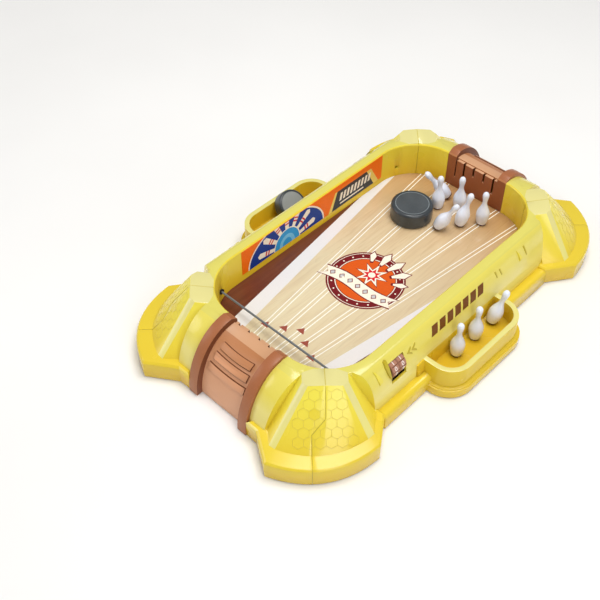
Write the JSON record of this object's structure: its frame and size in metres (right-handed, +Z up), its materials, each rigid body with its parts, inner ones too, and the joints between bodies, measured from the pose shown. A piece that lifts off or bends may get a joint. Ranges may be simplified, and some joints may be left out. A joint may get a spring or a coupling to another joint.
{
  "type": "table bowling game",
  "caption": "Table bowling game: moulded tray with a printed lane, elastic launching cord, number-wheel score counters, side pockets, tipping pins and sliding pucks.",
  "frame": {"origin": "middle of the footprint on the table", "axes": "+Y along the lane to the far end, +X to the right side rail, +Z up"},
  "size_m": [0.274, 0.4274, 0.0616],
  "materials": {
    "yellow_plastic": "glossy lemon yellow",
    "brown_plastic": "satin brown",
    "lane_board": "raw fibreboard",
    "lane_print": "printed wood grain under clear film",
    "label_print": "printed film",
    "wheel_plastic": "satin brown with pale digits",
    "axle_steel": "bright",
    "bracket_plastic": "moulded",
    "screw_steel": "zinc plated",
    "elastic": "woven elastic",
    "black_plastic": "moulded",
    "foot_rubber": "matt",
    "pin_white": "glossy white",
    "pin_base_dark": "satin maroon",
    "puck_slate": "satin slate",
    "puck_face_slate": "satin slate",
    "puck_face_grey": "satin grey",
    "weight_steel": "raw"
  },
  "bodies": {
    "tray": {"near_end_frame": "yellow_plastic", "far_end_frame": "yellow_plastic", "left_side_rail": "yellow_plastic", "right_side_rail": "yellow_plastic", "lane_board": "lane_board", "lane_sheet": "lane_print", "near_end_cap": "brown_plastic", "far_end_cap": "brown_plastic", "left_wall_label": "label_print", "right_wall_label": "label_print", "right_counter_axle": "axle_steel", "right_counter_bracket": "bracket_plastic", "left_counter_axle": "axle_steel", "left_counter_bracket": "bracket_plastic", "counter_screws": "screw_steel", "elastic_cord": "elastic", "cord_eyelets": "black_plastic", "cord_stops": "black_plastic", "near_right_corner_plate": "yellow_plastic", "near_left_corner_plate": "yellow_plastic", "far_right_corner_plate": "yellow_plastic", "far_left_corner_plate": "yellow_plastic", "frame_screws": "screw_steel", "cap_screws": "screw_steel", "lane_board_screws": "screw_steel", "rubber_feet": "foot_rubber"},
    "right_tens_wheel": {"right_tens_wheel": "wheel_plastic"},
    "right_units_wheel": {"right_units_wheel": "wheel_plastic"},
    "left_tens_wheel": {"left_tens_wheel": "wheel_plastic"},
    "left_units_wheel": {"left_units_wheel": "wheel_plastic"},
    "lane_pin_1": {"lane_pin_1": "pin_white", "lane_pin_1_base": "pin_base_dark"},
    "lane_pin_2": {"lane_pin_2": "pin_white", "lane_pin_2_base": "pin_base_dark"},
    "lane_pin_3": {"lane_pin_3": "pin_white", "lane_pin_3_base": "pin_base_dark"},
    "lane_pin_4": {"lane_pin_4": "pin_white", "lane_pin_4_base": "pin_base_dark"},
    "lane_pin_5": {"lane_pin_5": "pin_white", "lane_pin_5_base": "pin_base_dark"},
    "lane_pin_6": {"lane_pin_6": "pin_white", "lane_pin_6_base": "pin_base_dark"},
    "pocket_pin_1": {"pocket_pin_1": "pin_white", "pocket_pin_1_base": "pin_base_dark"},
    "pocket_pin_2": {"pocket_pin_2": "pin_white", "pocket_pin_2_base": "pin_base_dark"},
    "pocket_pin_3": {"pocket_pin_3": "pin_white", "pocket_pin_3_base": "pin_base_dark"},
    "lane_puck": {"lane_puck_shell": "puck_slate", "lane_puck_top_disc": "puck_face_slate", "lane_puck_glide_disc": "puck_face_grey", "lane_puck_weight": "weight_steel"},
    "pocket_puck": {"pocket_puck_shell": "puck_slate", "pocket_puck_top_disc": "puck_face_slate", "pocket_puck_glide_disc": "puck_face_grey", "pocket_puck_weight": "weight_steel"}
  },
  "joints": [
    {"name": "right_tens_turn", "type": "hinge", "parent": "tray", "child": "right_tens_wheel", "pos_m": [0.0906, -0.0865, 0.042], "axis": [0, 1, 0], "continuous": true},
    {"name": "right_units_turn", "type": "hinge", "parent": "tray", "child": "right_units_wheel", "pos_m": [0.0906, -0.0865, 0.042], "axis": [0, 1, 0], "continuous": true},
    {"name": "left_tens_turn", "type": "hinge", "parent": "tray", "child": "left_tens_wheel", "pos_m": [-0.0906, 0.0865, 0.042], "axis": [0, 1, 0], "continuous": true},
    {"name": "left_units_turn", "type": "hinge", "parent": "tray", "child": "left_units_wheel", "pos_m": [-0.0906, 0.0865, 0.042], "axis": [0, 1, 0], "continuous": true},
    {"name": "lane_pin_1_tip", "type": "hinge", "parent": "tray", "child": "lane_pin_1", "pos_m": [-0.01068, 0.10913, 0.022], "axis": [0.342, 0.9397, 0], "range_deg": [0, 56]},
    {"name": "lane_pin_2_tip", "type": "hinge", "parent": "tray", "child": "lane_pin_2", "pos_m": [-0.01865, 0.12595, 0.022], "axis": [0.7071, -0.7071, 0], "range_deg": [-39.8, 32]},
    {"name": "lane_pin_3_tip", "type": "hinge", "parent": "tray", "child": "lane_pin_3", "pos_m": [0.00487, 0.12604, 0.022], "axis": [-0.4226, 0.9063, 0], "range_deg": [0, 75]},
    {"name": "lane_pin_4_tip", "type": "hinge", "parent": "tray", "child": "lane_pin_4", "pos_m": [0.00756, 0.08701, 0.022], "axis": [-0.2419, 0.9703, 0], "range_deg": [-28, 44]},
    {"name": "lane_pin_5_tip", "type": "hinge", "parent": "tray", "child": "lane_pin_5", "pos_m": [0.01928, 0.10752, 0.022], "axis": [-0.7431, 0.6691, 0], "range_deg": [-12, 11]},
    {"name": "lane_pin_6_tip", "type": "hinge", "parent": "tray", "child": "lane_pin_6", "pos_m": [0.03398, 0.1189, 0.022], "axis": [0.5, 0.866, 0], "range_deg": [0, 75]},
    {"name": "pocket_pin_1_lift", "type": "slide", "parent": "tray", "child": "pocket_pin_1", "axis": [0, 0, 1], "range_m": [0, 0.05]},
    {"name": "pocket_pin_2_lift", "type": "slide", "parent": "tray", "child": "pocket_pin_2", "axis": [0, 0, 1], "range_m": [0, 0.05]},
    {"name": "pocket_pin_3_lift", "type": "slide", "parent": "tray", "child": "pocket_pin_3", "axis": [0, 0, 1], "range_m": [0, 0.05]},
    {"name": "lane_puck_run", "type": "slide", "parent": "tray", "child": "lane_puck", "axis": [0, -1, 0], "range_m": [0, 0.17]},
    {"name": "pocket_puck_lift", "type": "slide", "parent": "tray", "child": "pocket_puck", "axis": [0, 0, 1], "range_m": [0, 0.06]}
  ]
}
